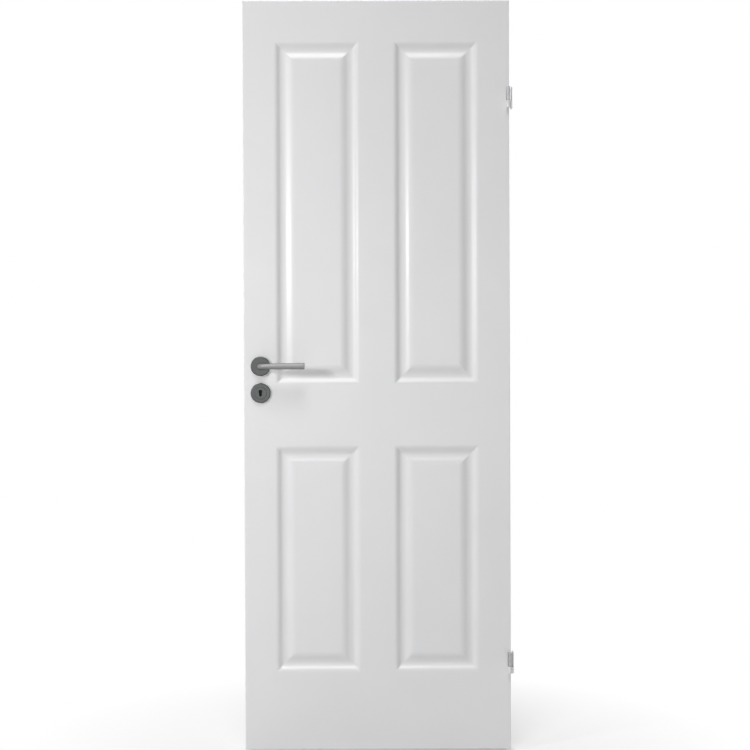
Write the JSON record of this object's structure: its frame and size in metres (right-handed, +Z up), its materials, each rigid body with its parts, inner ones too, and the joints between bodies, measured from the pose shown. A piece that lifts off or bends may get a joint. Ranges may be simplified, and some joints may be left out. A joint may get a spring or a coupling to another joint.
{
  "type": "interior door",
  "caption": "White moulded interior door leaf with raised panels, lever handles on round roses, a keyhole rose and lift-off hinges, swinging on its hinge pins.",
  "frame": {"origin": "on the seat of the lower hinge's frame half, level with the middle of that hinge and of the leaf's thickness", "axes": "+X from the lock edge to the hinge edge and into the frame, +Y from the front face to the back face, +Z up"},
  "size_m": [0.733, 0.153, 2.04],
  "materials": {
    "leaf_lacquer": "smooth white semi-gloss lacquer on pressed fibreboard",
    "edge_lacquer": "white lacquer on timber",
    "lever_steel": "satin",
    "rose_steel": "dark satin",
    "bush_plastic": "matt",
    "hinge_steel": "dull zinc",
    "frame_hinge_lacquer": "white lacquer",
    "washer_plastic": "white, matt",
    "case_steel": "dark, matt",
    "bright_steel": "satin"
  },
  "bodies": {
    "hinge_frame": {"lower_hinge_frame_half": "frame_hinge_lacquer", "lower_hinge_pin": "bright_steel", "lower_hinge_washer": "washer_plastic", "upper_hinge_frame_half": "frame_hinge_lacquer", "upper_hinge_pin": "bright_steel", "upper_hinge_washer": "washer_plastic"},
    "leaf": {"front_skin": "leaf_lacquer", "back_skin": "leaf_lacquer", "lock_stile": "edge_lacquer", "hinge_stile": "edge_lacquer", "top_rail": "edge_lacquer", "bottom_rail": "edge_lacquer", "lock_case": "case_steel", "lock_forend": "bright_steel", "latch_bolt": "bright_steel", "dead_bolt": "bright_steel", "front_handle_rose": "rose_steel", "back_handle_rose": "rose_steel", "front_neck_bush": "bush_plastic", "back_neck_bush": "bush_plastic", "front_key_rose": "rose_steel", "back_key_rose": "rose_steel", "lower_hinge_door_half": "hinge_steel", "upper_hinge_door_half": "hinge_steel"},
    "handle": {"front_lever": "lever_steel", "back_lever": "lever_steel", "spindle": "bright_steel"}
  },
  "joints": [
    {"name": "door_swing", "type": "hinge", "parent": "hinge_frame", "child": "leaf", "pos_m": [-0.011, -0.027, 0], "axis": [0, 0, 1], "range_deg": [0, 170]},
    {"name": "handle_turn", "type": "hinge", "parent": "leaf", "child": "handle", "pos_m": [-0.688, 0, 0.812], "axis": [0, 1, 0], "range_deg": [0, 45], "stiffness_Nm_per_rad": 1.5, "springref_deg": -34.38}
  ]
}
